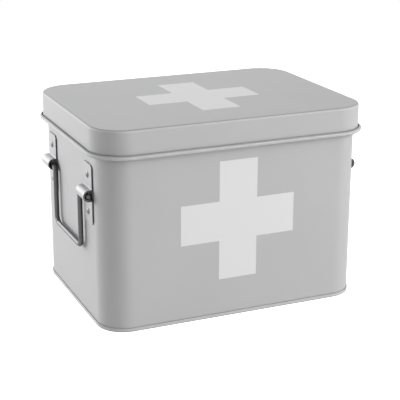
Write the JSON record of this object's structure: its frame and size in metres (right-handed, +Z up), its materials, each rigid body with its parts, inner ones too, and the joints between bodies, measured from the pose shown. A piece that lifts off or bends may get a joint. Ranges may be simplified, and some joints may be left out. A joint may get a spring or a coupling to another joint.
{
  "type": "first aid box",
  "caption": "Sheet steel first aid box with round corners, a lift-off lid with a rolled bead, and a drop handle on each end.",
  "frame": {"origin": "middle of the underside of the box, on the surface that it stands on", "axes": "+X to the right across the front, +Y to the back, +Z up"},
  "size_m": [0.234, 0.173, 0.16],
  "materials": {
    "painted_sheet": "satin light grey",
    "painted_lid": "satin light grey",
    "handle_rod": "drawn bright rod",
    "ear_strap": "bright plated strap",
    "rivet": "dull steel"
  },
  "bodies": {
    "case": {"body_wall": "painted_sheet", "base_plate": "painted_sheet", "left_front_ear": "ear_strap", "left_rear_ear": "ear_strap", "right_front_ear": "ear_strap", "right_rear_ear": "ear_strap", "left_front_upper_rivet": "rivet", "left_front_lower_rivet": "rivet", "left_rear_upper_rivet": "rivet", "left_rear_lower_rivet": "rivet", "right_front_upper_rivet": "rivet", "right_front_lower_rivet": "rivet", "right_rear_upper_rivet": "rivet", "right_rear_lower_rivet": "rivet"},
    "lid": {"lid": "painted_lid"},
    "left_handle": {"left_handle": "handle_rod"},
    "right_handle": {"right_handle": "handle_rod"}
  },
  "joints": [
    {"name": "lid_lift", "type": "slide", "parent": "case", "child": "lid", "axis": [0, 0, 1], "range_m": [0, 0.1]},
    {"name": "left_handle_swing", "type": "hinge", "parent": "case", "child": "left_handle", "pos_m": [-0.1124, 0, 0.1036], "axis": [0, 1, 0], "range_deg": [-1.3, 171]},
    {"name": "right_handle_swing", "type": "hinge", "parent": "case", "child": "right_handle", "pos_m": [0.1124, 0, 0.1036], "axis": [0, -1, 0], "range_deg": [-1.3, 171]}
  ]
}
